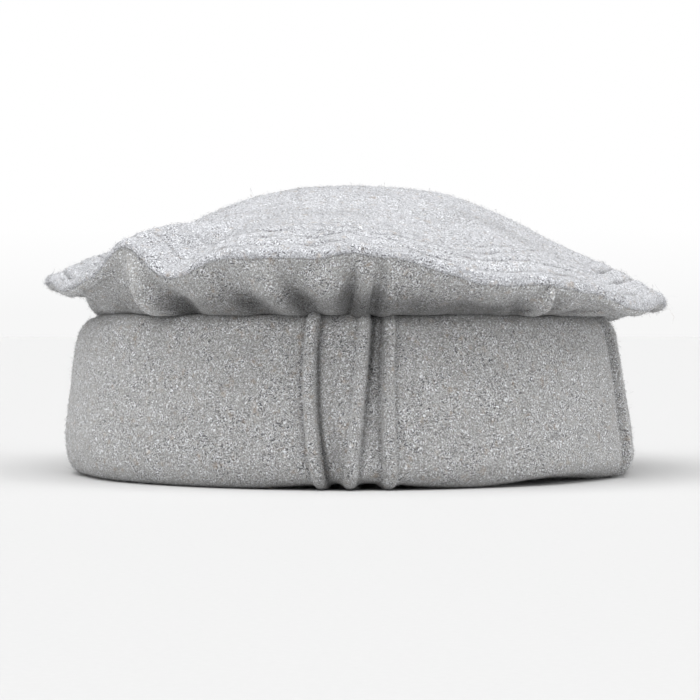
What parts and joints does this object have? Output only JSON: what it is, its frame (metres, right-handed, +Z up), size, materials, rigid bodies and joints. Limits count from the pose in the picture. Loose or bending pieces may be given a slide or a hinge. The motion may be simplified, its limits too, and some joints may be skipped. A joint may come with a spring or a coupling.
{
  "type": "pakol, a soft round wool cap with a rolled edge",
  "caption": "Soft round wool cap with a low domed, drooping crown and a thick rolled band with raised pintucks at the front.",
  "frame": {"origin": "centre of the crown's round plan, on the surface that the band rests on", "axes": "+X to the right as seen from the front, -Y out of the front where the group of pintucks is, +Z up through the crown"},
  "size_m": [0.2518, 0.2514, 0.1164],
  "materials": {
    "pale_wool": "fulled wool, heathered light grey",
    "grey_wool": "fulled wool, heathered mid grey"
  },
  "bodies": {
    "root": {"crown_disc": "pale_wool", "rolled_sleeve": "grey_wool"}
  },
  "joints": []
}
